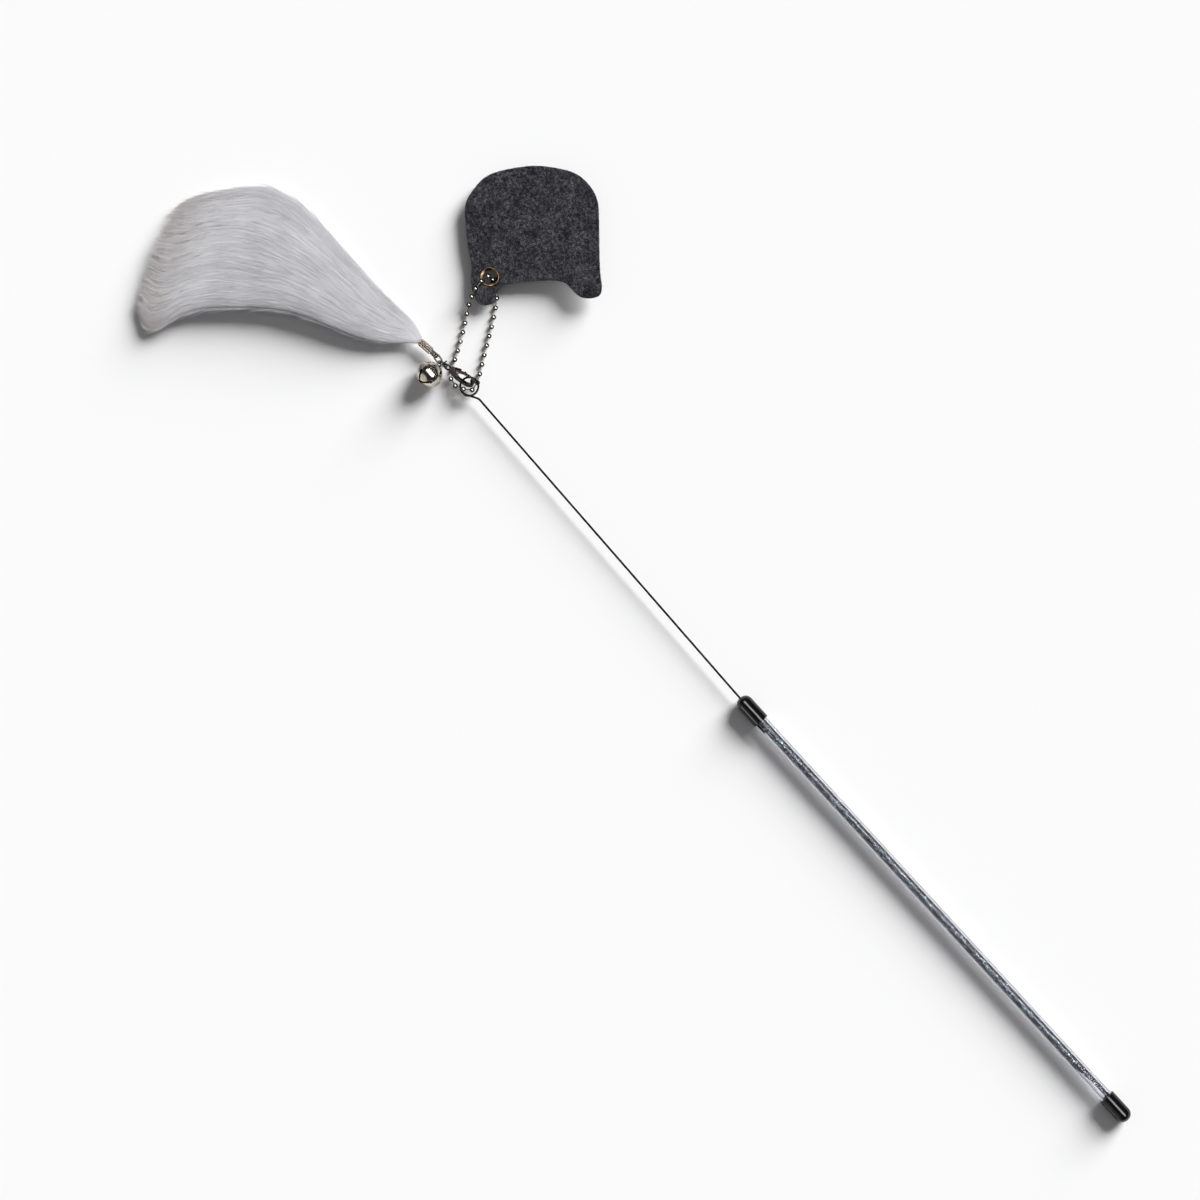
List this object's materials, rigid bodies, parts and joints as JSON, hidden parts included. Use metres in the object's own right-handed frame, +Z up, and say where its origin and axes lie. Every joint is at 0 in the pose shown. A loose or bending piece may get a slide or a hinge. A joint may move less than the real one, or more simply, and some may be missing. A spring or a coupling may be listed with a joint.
{
  "type": "cat teaser wand",
  "caption": "Clear tube handle with black end caps, a sprung wire with a wound eye, and on it a lobster clasp with a bell and a long fur tail, and a ball chain with a felt tag.",
  "frame": {"origin": "On the handle's axis, in the middle of the butt cap's length", "axes": "+X along the handle towards the lure, +Z up from the surface that the toy lies on, +Y to the left of the handle"},
  "size_m": [0.6187, 0.1983, 0.0131],
  "materials": {
    "handle_tube": "clear stiff plastic, polished",
    "glitter_film": "speckled silver glitter film",
    "glitter_flakes": "loose silver glitter flakes",
    "rear_cap": "black dipped vinyl, glossy",
    "front_cap": "black dipped vinyl, glossy",
    "wand_wire": "black coated spring steel",
    "clasp_body": "gunmetal plated die casting",
    "clasp_trigger": "gunmetal plated",
    "clasp_pin": "gunmetal plated rivet",
    "clasp_spring": "spring steel",
    "jump_ring": "nickel plated",
    "oval_link": "gunmetal plated",
    "bell_upper": "nickel plated, polished",
    "bell_lower": "nickel plated, polished",
    "bell_loop": "nickel plated wire",
    "bell_pea": "plain steel",
    "ferrule": "nickel plated, crimped",
    "tail_core": "undyed hide",
    "tail_fur": "long soft white fur",
    "chain_beads_eye": "gunmetal plated",
    "chain_links_eye": "gunmetal plated",
    "chain_beads_middle": "gunmetal plated",
    "chain_links_middle": "gunmetal plated",
    "chain_beads_tag": "gunmetal plated",
    "chain_links_tag": "gunmetal plated",
    "chain_connector": "gunmetal plated",
    "felt_tag": "charcoal wool felt",
    "eyelet": "antique brass",
    "eyelet_washer": "antique brass"
  },
  "bodies": {
    "handle": {"handle_tube": "handle_tube", "glitter_film": "glitter_film", "glitter_flakes": "glitter_flakes", "rear_cap": "rear_cap", "front_cap": "front_cap", "wand_wire": "wand_wire"},
    "clasp": {"clasp_body": "clasp_body", "clasp_pin": "clasp_pin", "clasp_spring": "clasp_spring"},
    "trigger": {"clasp_trigger": "clasp_trigger"},
    "ring": {"jump_ring": "jump_ring"},
    "link": {"oval_link": "oval_link"},
    "bell": {"bell_upper": "bell_upper", "bell_lower": "bell_lower", "bell_loop": "bell_loop"},
    "pea": {"bell_pea": "bell_pea"},
    "tail": {"ferrule": "ferrule", "tail_core": "tail_core", "tail_fur": "tail_fur"},
    "chain_eye": {"chain_beads_eye": "chain_beads_eye", "chain_links_eye": "chain_links_eye"},
    "chain_middle": {"chain_beads_middle": "chain_beads_middle", "chain_links_middle": "chain_links_middle"},
    "chain_tag": {"chain_beads_tag": "chain_beads_tag", "chain_links_tag": "chain_links_tag", "chain_connector": "chain_connector"},
    "tag": {"felt_tag": "felt_tag", "eyelet": "eyelet", "eyelet_washer": "eyelet_washer"}
  },
  "joints": [
    {"name": "clasp_tilt", "type": "hinge", "parent": "handle", "child": "clasp", "pos_m": [0.45989, -0.00661, 0.00056], "axis": [0.2588, 0.9659, 0], "range_deg": [-12, 0]},
    {"name": "trigger_press", "type": "hinge", "parent": "clasp", "child": "trigger", "pos_m": [0.46439, -0.00649, 0.00214], "axis": [-0.1957, 0.785, 0.5878], "range_deg": [-12, 0], "stiffness_Nm_per_rad": 0.002},
    {"name": "ring_swing", "type": "hinge", "parent": "clasp", "child": "ring", "pos_m": [0.471, -0.00372, 0.00063], "axis": [-0.1422, 0.5703, -0.809], "range_deg": [-20, 20]},
    {"name": "link_swing", "type": "hinge", "parent": "ring", "child": "link", "pos_m": [0.4742, -0.00292, 0.00063], "axis": [-0.0827, 0.3319, 0.9397], "range_deg": [-15, 15]},
    {"name": "bell_swing", "type": "hinge", "parent": "ring", "child": "bell", "pos_m": [0.47197, -0.00438, -0.00186], "axis": [0.9703, 0.2419, 0], "range_deg": [-60, 0]},
    {"name": "pea_roll", "type": "slide", "parent": "bell", "child": "pea", "axis": [0, 0, 1], "range_m": [0, 0.004]},
    {"name": "tail_swing", "type": "hinge", "parent": "link", "child": "tail", "pos_m": [0.47752, -0.0037, -0.00001], "axis": [0.0451, 0.9276, -0.371], "range_deg": [-15, 15]},
    {"name": "chain_swing", "type": "hinge", "parent": "handle", "child": "chain_eye", "pos_m": [0.45583, -0.00552, 0], "axis": [0, 0, 1], "range_deg": [-2, 6]},
    {"name": "chain_fold_near", "type": "hinge", "parent": "chain_eye", "child": "chain_middle", "pos_m": [0.46818, -0.01872, -0.0028], "axis": [-0.951, -0.3093, 0], "range_deg": [-25, 25]},
    {"name": "chain_fold_far", "type": "hinge", "parent": "chain_middle", "child": "chain_tag", "pos_m": [0.47568, -0.03005, -0.0026], "axis": [-0.9399, -0.34, -0.0306], "range_deg": [-25, 25]},
    {"name": "tag_swing", "type": "hinge", "parent": "chain_tag", "child": "tag", "pos_m": [0.48713, -0.04742, -0.0002], "axis": [0.027, 0.0508, 0.9983], "range_deg": [-2, 25]}
  ]
}
